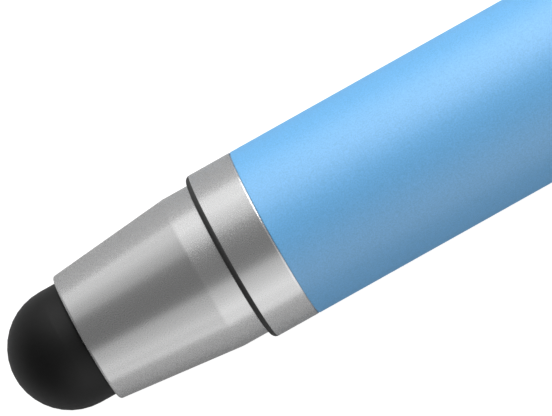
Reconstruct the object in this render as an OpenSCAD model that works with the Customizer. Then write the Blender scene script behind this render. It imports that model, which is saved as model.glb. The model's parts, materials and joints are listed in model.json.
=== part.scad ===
// Capacitive stylus pen with a hollow rubber nib, a screw-off nose, a blue tube barrel and a spring clip
// that the screwed end cap holds.
//
// The origin is the tip of the nib. The pen's axis runs along +X to the end cap, and +Z is up when the
// pen lies on a table. It rests there on its barrel and on the edge of its clip, so the clip points out
// to -Y and a little down.

/* [Pen] */
// Length from the tip of the nib to the end cap's face
overall_length = 120; // [100:1:150]
// Outside diameter of the barrel and of its collars
barrel_d = 9; // [8:0.1:11]
// Wall of the barrel's tube
barrel_wall = 0.7; // [0.6:0.05:0.9]

/* [Nib] */
// How far the nib stands out of the nose
nib_reach = 4.03; // [3.6:0.01:5]
// Wall of the hollow rubber
nib_wall = 0.7; // [0.5:0.05:0.8]
// Depth to which the full thickness of the nib sinks into the nose
nib_sink = 0.6; // [0.4:0.05:0.8]
// Depth of the groove that the nose's lip sits in
nib_groove_depth = 0.5; // [0.3:0.05:0.7]
// How far the flange that holds the nib stops short of the dome's radius
nib_flange_step = 0.05; // [0:0.05:0.3]
// Thickness of that flange
nib_flange_t = 0.6; // [0.4:0.05:0.8]

/* [Nib core] */
// Free space between the core's dome and the inside of the nib
core_air_gap = 1.6; // [1:0.1:2]
// Length of the core's body, which the spigot presses on
core_body_length = 1.5; // [1:0.1:2]
// Diameter of the tail that centres the core in the spigot
core_tail_d = 3; // [2.6:0.1:3.4]
// Length of that tail
core_tail_length = 3.2; // [2:0.1:4]
// Chamfer round the end of the tail
core_tail_chamfer = 0.4; // [0.2:0.05:0.6]

/* [Nose] */
// How far the nose's rear band is set in from the barrel's surface
nose_step = 0.4; // [0.35:0.05:0.6]
// How much the radius falls along the taper
nose_taper_drop = 0.68; // [0.4:0.02:0.8]
// Width of the rim round the nib at the nose's front edge
nose_rim = 0.32; // [0.28:0.02:0.5]
// Length of the tapered stretch
nose_taper_length = 6.55; // [6:0.05:7.5]
// Length of the cylindrical band behind the taper
nose_band_length = 1.45; // [1:0.01:2.5]
// Radius of the rounded front edge
nose_edge_r = 0.14; // [0.1:0.01:0.2]
// Thickness of the inner lip that sits in the nib's groove
nose_lip_t = 1.2; // [1:0.05:1.4]

/* [Nose thread] */
// Wall of the nose's rear band outside the thread
nose_thread_wall = 0.85; // [0.7:0.05:1]
// Depth of the undercut behind that thread
nose_undercut_depth = 0.25; // [0.15:0.05:0.35]
// Width of the undercut
nose_undercut_width = 0.5; // [0.3:0.05:0.8]
// Chamfer round the front of the spigot
spigot_chamfer = 0.25; // [0.1:0.05:0.35]

/* [Collars] */
// Length of the front collar's silver band
front_collar_length = 2.32; // [1.5:0.01:4]
// Length of the rear collar's silver band
rear_collar_length = 2.2; // [1.5:0.05:4]
// Chamfer on the collars' edges at the barrel
collar_chamfer = 0.06; // [0.02:0.01:0.15]
// Length of each collar's plug inside the barrel
plug_length = 8; // [6:0.5:12]
// Wall of the front collar's hollow plug
plug_wall = 1.3; // [0.8:0.1:1.6]
// Chamfer round the end of each plug
plug_chamfer = 0.3; // [0.1:0.05:0.5]
// Width of each glue groove round a plug
glue_groove_width = 0.8; // [0.4:0.1:1.2]
// Depth of each glue groove
glue_groove_depth = 0.25; // [0.1:0.05:0.4]
// Number of glue grooves on a plug
glue_groove_count = 3; // [1:1:3]

/* [Gaskets] */
// Thickness of the black gasket between the nose and the front collar
nose_gasket_t = 0.27; // [0.2:0.01:0.28]
// Radius of the rounded shoulder that this gasket and the collar's front edge share
shoulder_r = 0.3; // [0.3:0.01:0.4]
// Thickness of the gasket under the end cap
cap_gasket_t = 0.35; // [0.2:0.01:0.6]
// How far that gasket is set in from the barrel's surface
cap_gasket_step = 0.25; // [0.2:0.05:0.6]

/* [End cap] */
// Length of the end cap
cap_length = 3.7; // [3:0.1:8]
// Radius of the cap's rounded end
cap_edge_r = 0.7; // [0.3:0.05:1.2]
// Chamfer on the cap's front edge
cap_chamfer = 0.12; // [0.05:0.01:0.3]
// Major diameter of the cap's threaded stud
stud_d = 4; // [3:0.1:4.5]
// Length of the stud inside the rear collar
stud_grip = 5; // [3:0.1:7]
// Chamfer at the stud's tip
stud_chamfer = 0.4; // [0.2:0.05:0.6]
// Free depth below the stud in its tapped hole
stud_end_gap = 0.8; // [0.3:0.1:2]

/* [Clip] */
// Thickness of the clip's spring strip
clip_t = 0.8; // [0.6:0.05:1]
// Length of the arm ahead of its bend
clip_arm_length = 34; // [24:1:45]
// Width of the strip at the bend
clip_width = 4; // [3:0.1:5]
// Width of the arm at its free end
clip_end_width = 3.2; // [2.4:0.1:4]
// How far the ring that the cap clamps is set in from the barrel's surface
clip_ring_step = 0.15; // [0:0.05:0.4]
// Width of the collar's face outside the boss that centres the ring
clip_seat_width = 1.5; // [1:0.1:1.9]
// Height of that boss
clip_boss_height = 0.5; // [0.3:0.05:0.5]
// Inner radius of the bend between ring and arm
clip_bend_r = 0.7; // [0.5:0.05:1.2]
// Free height under the arm at the bend
clip_stand = 1.6; // [1:0.1:2.5]
// Free height under the arm at the dimple
clip_dimple_height = 0.85; // [0.6:0.05:1]
// Radius of the pressed dimple that grips the cloth
clip_dimple_r = 1.2; // [1:0.05:1.4]
// Radius of the dent that the press leaves above the dimple
clip_dent_r = 0.6; // [0.4:0.05:0.7]
// Distance of the dimple from the arm's free end
clip_dimple_setback = 3.6; // [3:0.1:6]
// Radius of the upturned end
clip_flare_r = 7; // [5:0.5:10]
// Angle through which the end turns up
clip_flare_angle = 22; // [10:1:30]

/* [Fits] */
// Radial play of a thread, a tail or a ring in its hole
fit_play = 0.05; // [0.03:0.01:0.08]
// Radial gap filled with glue round a plug
glue_gap = 0.03; // [0.01:0.01:0.05]
// Gap between the clip's dimple and the barrel
dimple_gap = 0.1; // [0.05:0.01:0.2]

/* [Hidden] */

silver = [0.72, 0.72, 0.73];
blue = [0.36, 0.60, 0.82];
black = [0.10, 0.10, 0.10];
brass = [0.78, 0.62, 0.32];

// How far a cut runs past the face that it opens
overrun = 1;
// Facets of a full circle
round_fn = 96;
// Steps of an arc in an outline
arc_steps = 12;

// Radii
barrel_r = barrel_d / 2;
bore_r = barrel_r - barrel_wall;
plug_r = bore_r - glue_gap;
nose_rear_r = barrel_r - nose_step;
nose_front_r = nose_rear_r - nose_taper_drop;
spigot_r = nose_rear_r - nose_thread_wall;
nib_r = nose_front_r - nose_rim;
flange_r = nib_r - nib_flange_step;
neck_r = nib_r - nib_groove_depth;
throat_r = neck_r - nib_wall;
tail_r = core_tail_d / 2;
stud_r = stud_d / 2;
cap_gasket_r = barrel_r - cap_gasket_step;
boss_r = barrel_r - clip_seat_width;
ring_r = barrel_r - clip_ring_step;
ring_bore_r = boss_r + fit_play;

// Stations along the pen, from the nib's tip to the end cap
nose_x = nib_reach;
lip_x = nose_x + nib_sink;
flange_x = lip_x + nose_lip_t;
core_x = flange_x + nib_flange_t;
spigot_x = core_x + core_body_length;
tail_end_x = spigot_x + core_tail_length;
taper_end_x = nose_x + nose_taper_length;
nose_gasket_x = taper_end_x + nose_band_length;
front_collar_x = nose_gasket_x + nose_gasket_t;
barrel_x = front_collar_x + front_collar_length;
front_plug_end_x = barrel_x + plug_length;
cap_x = overall_length - cap_length;
cap_gasket_x = cap_x - cap_gasket_t;
ring_x = cap_gasket_x - clip_t;
stud_x = ring_x - stud_grip;
rear_collar_x = ring_x - rear_collar_length;
rear_plug_end_x = rear_collar_x - plug_length;

taper_angle = atan(nose_taper_drop / nose_taper_length);

// The clip's strip seen from the side: a height is measured from the pen's axis
clip_top = barrel_r + clip_stand + clip_t;
bend_x = ring_x - clip_bend_r;
bend_height = clip_top - clip_t - clip_bend_r;
arm_end_x = bend_x - clip_arm_length;
dimple_x = arm_end_x + clip_dimple_setback;
arm_angle = atan((clip_stand - clip_dimple_height) / (bend_x - dimple_x));
flare_x = dimple_x - clip_dimple_r;

// The clip turns about the pen's axis until the corner of its bend is as low as the barrel
clip_corner_r = norm([clip_width / 2, clip_top]);
clip_rest_angle = acos(barrel_r / clip_corner_r) + atan(clip_width / 2 / clip_top);

// A body turned round the pen's axis from an outline of [radius, station]
module turned() {
    rotate([0, 90, 0])
        rotate_extrude($fn = round_fn)
            children();
}

// A plain turned outline, from one station to another
module land(radius, from, to) {
    translate([0, from])
        square([radius, to - from]);
}

// A dome's half outline, with its top at a station and its centre behind it
module dome(radius, top) {
    intersection() {
        translate([0, top + radius])
            circle(r = radius, $fn = round_fn);
        translate([0, top])
            square([radius, radius]);
    }
}

// A turned outline with its far end chamfered; the far end may point either way along the pen
module chamfered_land(radius, from, to, chamfer) {
    polygon(from < to
        ? [[0, from], [radius, from], [radius, to - chamfer], [radius - chamfer, to], [0, to]]
        : [[0, to], [radius - chamfer, to], [radius, to + chamfer], [radius, from], [0, from]]);
}

// Moves the clip's own frame, where the strip stands up in +Z, to its place on the pen
module on_clip_side() {
    rotate([180 - clip_rest_angle, 0, 0])
        children();
}

// Points of an arc, from one angle to another
function arc(centre, radius, from, to) =
    [for (i = [0 : arc_steps])
        let (angle = from + (to - from) * i / arc_steps)
            centre + radius * [cos(angle), sin(angle)]];

// A strip as wide as asked, from its side outline of [station, height]
module strip(width) {
    rotate([90, 0, 0])
        linear_extrude(height = width, center = true)
            children();
}

// Hollow rubber dome with a groove for the nose's lip and a flange behind it
module rubber_nib() {
    inner_r = nib_r - nib_wall;
    color(black)
        turned()
            difference() {
                union() {
                    dome(nib_r, 0);
                    land(nib_r, nib_r, lip_x);
                    land(neck_r, lip_x, flange_x);
                    land(flange_r, flange_x, core_x);
                }
                dome(inner_r, nib_wall);
                land(inner_r, nib_r, lip_x);
                land(throat_r, lip_x, core_x + overrun);
            }
}

// Turned brass core: a domed post inside the nib, a body behind its flange and a centring tail
module nib_core() {
    post_r = throat_r - fit_play;
    post_x = nib_wall + core_air_gap;
    color(brass)
        turned() {
            dome(post_r, post_x);
            land(post_r, post_x + post_r, core_x);
            land(flange_r, core_x, spigot_x);
            chamfered_land(tail_r, spigot_x, tail_end_x, core_tail_chamfer);
        }
}

// Outline of the nose: rounded front edge, taper and rear band
module nose_outline() {
    edge_centre = [nose_front_r + nose_edge_r * (tan(taper_angle) - 1 / cos(taper_angle)),
                   nose_x + nose_edge_r];
    polygon(concat([[0, nose_x]],
                   arc(edge_centre, nose_edge_r, -90, -taper_angle),
                   [[nose_rear_r, taper_end_x], [nose_rear_r, nose_gasket_x], [0, nose_gasket_x]]));
}

// Screw-off nose, stepped inside: a mouth for the nib, a lip, a seat for the flange and the thread
module nose_cone() {
    color(silver)
        turned()
            difference() {
                nose_outline();
                land(nib_r + fit_play, nose_x - overrun, lip_x);
                land(neck_r + fit_play, lip_x, flange_x);
                land(flange_r + fit_play, flange_x, spigot_x);
                land(spigot_r + fit_play, spigot_x, nose_gasket_x + overrun);
            }
}

// Outline of the rounded shoulder, from the gasket's front face to the barrel
module shoulder() {
    rounded_x = nose_gasket_x + shoulder_r;
    land(barrel_r - shoulder_r, nose_gasket_x, rounded_x);
    land(barrel_r, rounded_x, barrel_x);
    translate([barrel_r - shoulder_r, rounded_x])
        circle(r = shoulder_r, $fn = round_fn);
}

// Black gasket between the nose and the front collar, which starts the shoulder
module nose_gasket() {
    color(black)
        turned()
            difference() {
                intersection() {
                    shoulder();
                    land(barrel_r, nose_gasket_x, front_collar_x);
                }
                land(spigot_r + fit_play, nose_gasket_x - overrun, front_collar_x + overrun);
            }
}

// Grooves round a plug between two stations
module glue_grooves(from, to) {
    for (i = [1 : glue_groove_count])
        translate([plug_r - glue_groove_depth,
                   from + (to - from) * i / (glue_groove_count + 1) - glue_groove_width / 2])
            square([glue_groove_depth + overrun, glue_groove_width]);
}

// Front collar: threaded spigot, silver band and grooved plug
module front_collar() {
    color(silver)
        turned()
            difference() {
                union() {
                    chamfered_land(spigot_r, barrel_x, spigot_x, spigot_chamfer);
                    intersection() {
                        shoulder();
                        chamfered_land(barrel_r, front_collar_x, barrel_x, collar_chamfer);
                    }
                    chamfered_land(plug_r, front_collar_x, front_plug_end_x, plug_chamfer);
                }
                translate([spigot_r - nose_undercut_depth, front_collar_x - nose_undercut_width])
                    square([nose_undercut_depth + overrun, nose_undercut_width]);
                land(tail_r + fit_play, spigot_x - overrun, barrel_x + overrun);
                land(plug_r - plug_wall, barrel_x, front_plug_end_x + overrun);
                glue_grooves(barrel_x, front_plug_end_x);
            }
}

// Blue tube, plain from collar to collar
module barrel() {
    color(blue)
        turned()
            translate([bore_r, barrel_x])
                square([barrel_wall, rear_collar_x - barrel_x]);
}

// Rear collar: grooved plug, silver band, boss for the clip's ring and tapped hole
module rear_collar() {
    color(silver)
        turned()
            difference() {
                union() {
                    chamfered_land(plug_r, ring_x, rear_plug_end_x, plug_chamfer);
                    chamfered_land(barrel_r, ring_x, rear_collar_x, collar_chamfer);
                    land(boss_r, rear_collar_x, ring_x + clip_boss_height);
                }
                land(stud_r + fit_play, stud_x - stud_end_gap, ring_x + clip_boss_height + overrun);
                glue_grooves(rear_plug_end_x, rear_collar_x);
            }
}

// Side outline of the strip from the middle of the ring's face to the end of the bend
module bend_outline() {
    foot_height = (ring_bore_r + ring_r) / 2;
    centre = [bend_x, bend_height];
    polygon(concat([[ring_x + clip_t, foot_height]],
                   arc(centre, clip_bend_r + clip_t, 0, 90),
                   arc(centre, clip_bend_r, 90, 0),
                   [[ring_x, foot_height]]));
}

// Ring clamped under the cap, with the strip that rises from it and bends forward
module clip_ring() {
    color(silver) {
        turned()
            translate([ring_bore_r, ring_x])
                square([ring_r - ring_bore_r, clip_t]);
        on_clip_side()
            strip(clip_width)
                bend_outline();
    }
}

// Side outline of the arm: straight and slightly falling, then turned up at its free end
module arm_outline() {
    top_at_flare = [flare_x, clip_top - (bend_x - flare_x) * tan(arm_angle)];
    centre = top_at_flare + clip_flare_r * [-sin(arm_angle), cos(arm_angle)];
    start = arm_angle - 90;
    polygon(concat([[bend_x, clip_top]],
                   arc(centre, clip_flare_r, start, start - clip_flare_angle),
                   arc(centre, clip_flare_r + clip_t, start - clip_flare_angle, start),
                   [[bend_x, clip_top - clip_t]]));
}

// Plan of the arm: tapered, with a round end
module arm_plan() {
    end_r = clip_end_width / 2;
    translate([arm_end_x + end_r, 0])
        circle(r = end_r, $fn = round_fn);
    polygon([[bend_x, clip_width / 2], [arm_end_x + end_r, end_r],
             [arm_end_x + end_r, -end_r], [bend_x, -clip_width / 2]]);
}

// Spring arm with its pressed dimple, which stands out below and leaves a dent above
module clip_arm() {
    under_dimple = barrel_r + clip_dimple_height;
    color(silver)
        on_clip_side()
            difference() {
                union() {
                    intersection() {
                        strip(clip_width + overrun)
                            arm_outline();
                        linear_extrude(height = clip_top + overrun)
                            arm_plan();
                    }
                    intersection() {
                        translate([dimple_x, 0, barrel_r + dimple_gap + clip_dimple_r])
                            sphere(r = clip_dimple_r, $fn = round_fn);
                        translate([dimple_x - clip_dimple_r, -clip_dimple_r, barrel_r])
                            cube([2 * clip_dimple_r, 2 * clip_dimple_r,
                                  clip_dimple_height + clip_t / 2]);
                    }
                }
                translate([dimple_x, 0, under_dimple + clip_t])
                    sphere(r = clip_dent_r, $fn = round_fn);
            }
}

// Gasket between the clip's ring and the end cap
module cap_gasket() {
    color(black)
        turned()
            translate([stud_r + fit_play, cap_gasket_x])
                square([cap_gasket_r - stud_r - fit_play, cap_gasket_t]);
}

// End cap with a rounded end and a threaded stud
module end_cap() {
    round_x = overall_length - cap_edge_r;
    color(silver)
        turned() {
            chamfered_land(barrel_r, round_x, cap_x, cap_chamfer);
            land(barrel_r - cap_edge_r, round_x, overall_length);
            translate([barrel_r - cap_edge_r, round_x])
                circle(r = cap_edge_r, $fn = round_fn);
            chamfered_land(stud_r, round_x, stud_x, stud_chamfer);
        }
}

rubber_nib();
nib_core();
nose_cone();
nose_gasket();
front_collar();
barrel();
rear_collar();
clip_ring();
clip_arm();
cap_gasket();
end_cap();
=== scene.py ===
"""Looks of a stylus pen with a hollow rubber nib, a screw-off nose, a blue tube barrel and a spring clip.

Lengths are in metres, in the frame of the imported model: the nib's tip is the origin, the pen's axis runs
along +X to its end cap, and +Z is up as the pen lies on a table.
"""

import json
import logging
import math
from dataclasses import dataclass
from enum import Enum
from typing import Callable, Sequence

import bmesh
import bpy
from mathutils import Matrix, Vector

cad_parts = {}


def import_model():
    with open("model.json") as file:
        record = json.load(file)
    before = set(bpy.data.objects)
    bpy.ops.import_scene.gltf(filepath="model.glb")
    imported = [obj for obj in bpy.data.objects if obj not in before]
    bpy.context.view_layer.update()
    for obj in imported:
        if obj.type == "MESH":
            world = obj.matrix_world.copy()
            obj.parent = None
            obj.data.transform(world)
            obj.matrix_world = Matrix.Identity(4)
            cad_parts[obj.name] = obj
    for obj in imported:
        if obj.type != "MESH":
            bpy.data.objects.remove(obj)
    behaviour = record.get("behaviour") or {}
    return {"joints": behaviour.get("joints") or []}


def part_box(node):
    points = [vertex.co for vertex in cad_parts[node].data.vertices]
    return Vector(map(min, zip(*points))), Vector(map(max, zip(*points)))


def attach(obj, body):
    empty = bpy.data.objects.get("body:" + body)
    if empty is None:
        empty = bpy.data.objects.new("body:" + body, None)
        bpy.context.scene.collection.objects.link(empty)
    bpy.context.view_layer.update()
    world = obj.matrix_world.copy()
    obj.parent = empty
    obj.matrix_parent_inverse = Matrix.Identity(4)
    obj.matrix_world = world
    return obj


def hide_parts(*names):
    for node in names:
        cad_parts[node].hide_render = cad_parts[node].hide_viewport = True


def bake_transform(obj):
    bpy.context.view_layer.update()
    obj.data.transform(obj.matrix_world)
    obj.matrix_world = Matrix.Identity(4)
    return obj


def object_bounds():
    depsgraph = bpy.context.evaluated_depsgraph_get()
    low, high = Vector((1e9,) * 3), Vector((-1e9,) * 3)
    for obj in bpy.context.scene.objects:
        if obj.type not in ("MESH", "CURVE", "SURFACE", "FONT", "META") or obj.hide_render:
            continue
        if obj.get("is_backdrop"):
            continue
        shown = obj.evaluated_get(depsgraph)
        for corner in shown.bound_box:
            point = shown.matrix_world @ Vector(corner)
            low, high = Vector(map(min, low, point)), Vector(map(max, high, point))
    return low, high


LOG = logging.getLogger("stylus_pen")

MM = 0.001
# Points round every turned piece
SEGMENTS = 128
# Steepest turn between two faces that still shades smooth
SHARP_ANGLE = math.radians(32)
# Radius below which a ring is a point on the axis
ON_AXIS = 1e-9

# A point of an outline: station along the pen and radius
Point = tuple[float, float]
# A ring of a turned piece: its station and radius at an angle round the pen's axis
Ring = Callable[[float], Point]


class Body(Enum):
    """Bodies that the pieces move with."""

    PEN = "pen_body"
    NOSE = "nose"
    CAP_SEAL = "cap_seal"
    CAP = "cap"
    CLIP = "clip_spring"


class Slot(Enum):
    """Material slots of the record."""

    NIB_RUBBER = "nib_rubber"
    BRASS = "turned_brass"
    SILVER = "satin_silver"
    # Dark rubber of the seals; on the ring between nose and collar it is painted shade
    GASKET = "gasket_rubber"
    BLUE = "blue_barrel"
    CLIP = "clip_steel"


class Grain(Enum):
    """Which way the fine marks of a finish run, as shares of their spacing along X, Y and Z."""

    TURNED = (1.0, 0.02, 0.02)
    BLASTED = (1.0, 1.0, 1.0)
    DRAWN = (0.015, 1.0, 1.0)


class Side(Enum):
    """Which side of a thread is metal."""

    OUTSIDE = "screw"
    INSIDE = "nut"


class ShaderBench:
    """Builds the nodes of one procedural material round a Principled shader."""

    # Values of a noise at which its blends start and end
    NOISE_LOW = 0.3
    NOISE_HIGH = 0.7

    def __init__(self, name: str) -> None:
        """Starts a new material with an empty node tree.

        Args:
            name: what the material is called.
        """
        self.material = bpy.data.materials.new(name)
        self.material.use_nodes = True
        self.tree = self.material.node_tree
        self.tree.nodes.clear()
        self.shader = self.add("ShaderNodeBsdfPrincipled")
        output = self.add("ShaderNodeOutputMaterial")
        self.link(self.shader.outputs["BSDF"], output.inputs["Surface"])
        self.place = self.add("ShaderNodeTexCoord").outputs["Object"]

    def add(self, kind: str) -> bpy.types.Node:
        """Adds a node of a kind and returns it."""
        return self.tree.nodes.new(kind)

    def link(self, source: bpy.types.NodeSocket, target: bpy.types.NodeSocket) -> None:
        """Links an output to an input."""
        self.tree.links.new(source, target)

    def noise(self, spacing: float, grain: Grain, detail: float = 2.0) -> bpy.types.NodeSocket:
        """Adds a noise whose marks lie a distance apart.

        Args:
            spacing: distance between marks across the grain.
            grain: which way the marks run.
            detail: octaves of finer marks.

        Returns:
            The noise's value, from about 0.2 to 0.8.
        """
        mapping = self.add("ShaderNodeMapping")
        mapping.inputs["Scale"].default_value = [share / spacing for share in grain.value]
        self.link(self.place, mapping.inputs["Vector"])
        texture = self.add("ShaderNodeTexNoise")
        texture.inputs["Scale"].default_value = 1.0
        texture.inputs["Detail"].default_value = detail
        self.link(mapping.outputs["Vector"], texture.inputs["Vector"])
        return texture.outputs["Fac"]

    def colour_between(
            self, value: bpy.types.NodeSocket, low: Sequence[float], high: Sequence[float]) -> None:
        """Sets the base colour to a blend of two colours that follows a noise.

        Args:
            value: the noise.
            low: colour where the noise is low.
            high: colour where the noise is high.
        """
        ramp = self.add("ShaderNodeValToRGB")
        stops = ((self.NOISE_LOW, low), (self.NOISE_HIGH, high))
        for element, (position, colour) in zip(ramp.color_ramp.elements, stops):
            element.position = position
            element.color = (*colour, 1.0)
        self.link(value, ramp.inputs["Fac"])
        self.link(ramp.outputs["Color"], self.shader.inputs["Base Color"])

    def roughness_between(self, value: bpy.types.NodeSocket, low: float, high: float) -> None:
        """Lets the roughness follow a noise between two values.

        Args:
            value: the noise.
            low: roughness where the noise is low.
            high: roughness where the noise is high.
        """
        span = self.add("ShaderNodeMapRange")
        span.inputs["From Min"].default_value = self.NOISE_LOW
        span.inputs["From Max"].default_value = self.NOISE_HIGH
        span.inputs["To Min"].default_value = low
        span.inputs["To Max"].default_value = high
        self.link(value, span.inputs["Value"])
        self.link(span.outputs["Result"], self.shader.inputs["Roughness"])

    def bump(self, value: bpy.types.NodeSocket, depth: float, strength: float) -> None:
        """Raises and lowers the surface by a noise.

        Args:
            value: the noise.
            depth: height of the marks.
            strength: share of the effect.
        """
        bump = self.add("ShaderNodeBump")
        bump.inputs["Distance"].default_value = depth
        bump.inputs["Strength"].default_value = strength
        self.link(value, bump.inputs["Height"])
        self.link(bump.outputs["Normal"], self.shader.inputs["Normal"])


@dataclass(frozen=True)
class MetalFinish:
    """A bare or anodised metal with fine marks.

    Attributes:
        name: what the material is called.
        grain: which way the marks run.
        spacing: distance between marks.
        depth: depth of the marks.
        strength: share of the marks' depth that shows.
        low: colour in the marks.
        high: colour between the marks.
        metallic: share of metal in the reflection.
        smoothest: lowest roughness.
        roughest: highest roughness.
        ior: index of refraction of the part that isn't metallic.
        sheen_level: strength of that part's reflection, where 0.5 is what the index gives.
    """

    name: str
    grain: Grain
    spacing: float
    depth: float
    strength: float
    low: tuple[float, float, float]
    high: tuple[float, float, float]
    metallic: float
    smoothest: float
    roughest: float
    ior: float = 1.5
    sheen_level: float = 0.5

    def material(self) -> bpy.types.Material:
        """Makes the material.

        Returns:
            The new material.
        """
        bench = ShaderBench(self.name)
        marks = bench.noise(self.spacing, self.grain)
        bench.colour_between(marks, self.low, self.high)
        bench.roughness_between(marks, self.smoothest, self.roughest)
        bench.bump(marks, self.depth, self.strength)
        bench.shader.inputs["Metallic"].default_value = self.metallic
        bench.shader.inputs["IOR"].default_value = self.ior
        bench.shader.inputs["Specular IOR Level"].default_value = self.sheen_level
        return bench.material


@dataclass(frozen=True)
class RubberFinish:
    """Black moulded rubber with a fine satin skin.

    Attributes:
        name: what the material is called.
        shade: darkest grey of the rubber.
        dust: how much lighter its lightest specks are.
        smoothest: lowest roughness.
        roughest: highest roughness.
        specks: distance between specks.
        depth: height of the skin's texture.
        sheen_level: strength of the skin's reflection, where 0.5 is that of common rubber.
        detail: octaves of finer specks.
        strength: share of the texture's height that shows.
    """

    name: str
    shade: float
    dust: float
    smoothest: float
    roughest: float
    specks: float
    depth: float
    sheen_level: float = 0.5
    detail: float = 3.0
    strength: float = 0.5

    def material(self) -> bpy.types.Material:
        """Makes the material.

        Returns:
            The new material.
        """
        bench = ShaderBench(self.name)
        skin = bench.noise(self.specks, Grain.BLASTED, self.detail)
        light = self.shade + self.dust
        bench.colour_between(skin, (self.shade,) * 3, (light,) * 3)
        bench.roughness_between(skin, self.smoothest, self.roughest)
        bench.shader.inputs["Specular IOR Level"].default_value = self.sheen_level
        bench.bump(skin, self.depth, self.strength)
        return bench.material


SATIN_SILVER = MetalFinish(
    name="satin_silver", grain=Grain.BLASTED, spacing=0.045 * MM, depth=0.00005 * MM, strength=0.3,
    low=(0.758, 0.758, 0.763), high=(0.80, 0.80, 0.80), metallic=1.0, smoothest=0.26, roughest=0.285)
CLIP_STEEL = MetalFinish(
    name="clip_steel", grain=Grain.DRAWN, spacing=0.04 * MM, depth=0.0006 * MM, strength=0.5,
    low=(0.66, 0.66, 0.67), high=(0.78, 0.78, 0.785), metallic=1.0, smoothest=0.24, roughest=0.34)
TURNED_BRASS = MetalFinish(
    name="turned_brass", grain=Grain.TURNED, spacing=0.05 * MM, depth=0.001 * MM, strength=0.6,
    low=(0.62, 0.43, 0.17), high=(0.80, 0.58, 0.26), metallic=1.0, smoothest=0.22, roughest=0.34)
ANODISED_BLUE = MetalFinish(
    name="anodised_blue", grain=Grain.BLASTED, spacing=0.075 * MM, depth=0.0025 * MM, strength=0.4,
    low=(0.065, 0.345, 0.67), high=(0.120, 0.45, 0.85), metallic=0.0, smoothest=0.44, roughest=0.50,
    ior=1.8, sheen_level=0.92)
NIB_RUBBER = RubberFinish(
    name="nib_rubber", shade=0.002, dust=0.003, smoothest=0.42, roughest=0.50,
    specks=0.06 * MM, depth=0.001 * MM, sheen_level=0.34)
# Dark grey of the rubber seals. On the ring between nose and collar it is painted shade: it stands for the
# shade and dark reflection of the step in that joint.
GASKET_RUBBER_AND_PAINTED_SHADE = RubberFinish(
    name="gasket_rubber", shade=0.028, dust=0.010, smoothest=0.55, roughest=0.65,
    specks=0.05 * MM, depth=0.001 * MM)


@dataclass(frozen=True)
class Corner:
    """A corner of a turned piece's outline.

    Attributes:
        x: station along the pen.
        r: radius.
        edge: radius of the rounding, or zero for a sharp corner.
    """

    x: float
    r: float
    edge: float = 0.0


@dataclass(frozen=True)
class Thread:
    """A right-handed thread round the pen's axis.

    Attributes:
        side: which side of it is metal.
        start: station of its first turn.
        end: station past its last turn.
        pitch: how far it climbs in a turn.
        major: radius of a screw's crest.
        depth: depth of its groove.
        play: how much wider a nut is than its screw.
        run_out: length at each end over which the groove fades.
        flat_share: share of the pitch that the groove's floor and the crest each take.
        rows_per_pitch: rings of points in each turn of the thread.
    """

    side: Side
    start: float
    end: float
    pitch: float
    major: float
    depth: float
    play: float = 0.05 * MM
    run_out: float = 0.25 * MM
    flat_share: float = 0.2
    rows_per_pitch: int = 16

    def profile(self, phase: float) -> float:
        """Height of the thread at a share of its pitch.

        Args:
            phase: turns past a groove's middle.

        Returns:
            The height, from 0 in the groove to 1 on the crest.
        """
        away = abs((phase % 1.0) - 0.5) * 2
        flank = (1 - self.flat_share - away) / (1 - 2 * self.flat_share)
        flank = min(1.0, max(0.0, flank))
        return flank * flank * (3 - 2 * flank)

    def radius(self, x: float, angle: float) -> float:
        """Radius of the threaded surface at a place.

        Args:
            x: station along the pen.
            angle: angle round the pen's axis.

        Returns:
            The radius there.
        """
        height = self.profile(x / self.pitch - angle / math.tau)
        inside = min(x - self.start, self.end - x)
        share = min(1.0, max(0.0, inside / self.run_out))
        if self.side is Side.OUTSIDE:
            return self.major - self.depth * (1 - height * share)
        return self.major + self.play - self.depth * (1 - height) * share

    def rings(self) -> list[Ring]:
        """Rings of the thread, from its start to its end.

        Returns:
            One ring for each row.
        """
        rows = round((self.end - self.start) / self.pitch * self.rows_per_pitch)
        stations = [self.start + (self.end - self.start) * row / rows for row in range(rows + 1)]
        return [lambda angle, x=x: (x, self.radius(x, angle)) for x in stations]


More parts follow.
